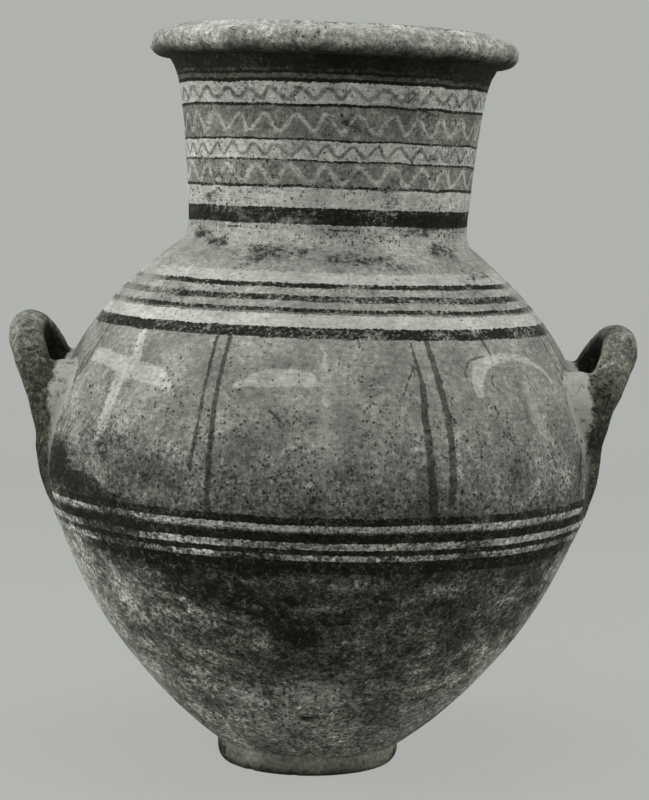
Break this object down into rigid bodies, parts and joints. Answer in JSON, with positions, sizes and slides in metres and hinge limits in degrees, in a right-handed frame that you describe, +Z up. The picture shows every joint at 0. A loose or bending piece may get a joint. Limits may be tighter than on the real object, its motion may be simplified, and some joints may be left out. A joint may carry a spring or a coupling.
{
  "type": "pithos",
  "caption": "Tall fired clay storage jar with a wide flared neck, a thick rim, two upright loop handles on the shoulder and a low ring foot.",
  "frame": {"origin": "on the floor, below the middle of the jar's outline at the level of the handles", "axes": "+Z up, the handles at -X and +X, the front that the picture shows at -Y; the jar's own axis leans 1.25 degrees to +X"},
  "size_m": [0.6341, 0.5668, 0.7443],
  "materials": {
    "foot_clay": "matte fired clay with slip paint",
    "body_clay": "matte fired clay with slip paint",
    "neck_clay": "matte fired clay with slip paint",
    "rim_clay": "matte fired clay with slip paint",
    "handle_clay": "matte fired clay with slip paint"
  },
  "bodies": {
    "root": {"foot_ring": "foot_clay", "floor_disc": "foot_clay", "lower_wall": "body_clay", "belly_wall": "body_clay", "shoulder_wall": "body_clay", "neck": "neck_clay", "rim_roll": "rim_clay", "handle_left": "handle_clay", "handle_right": "handle_clay", "root_clay_left_front": "handle_clay", "root_clay_left_back": "handle_clay", "root_clay_right_front": "handle_clay", "root_clay_right_back": "handle_clay"}
  },
  "joints": []
}
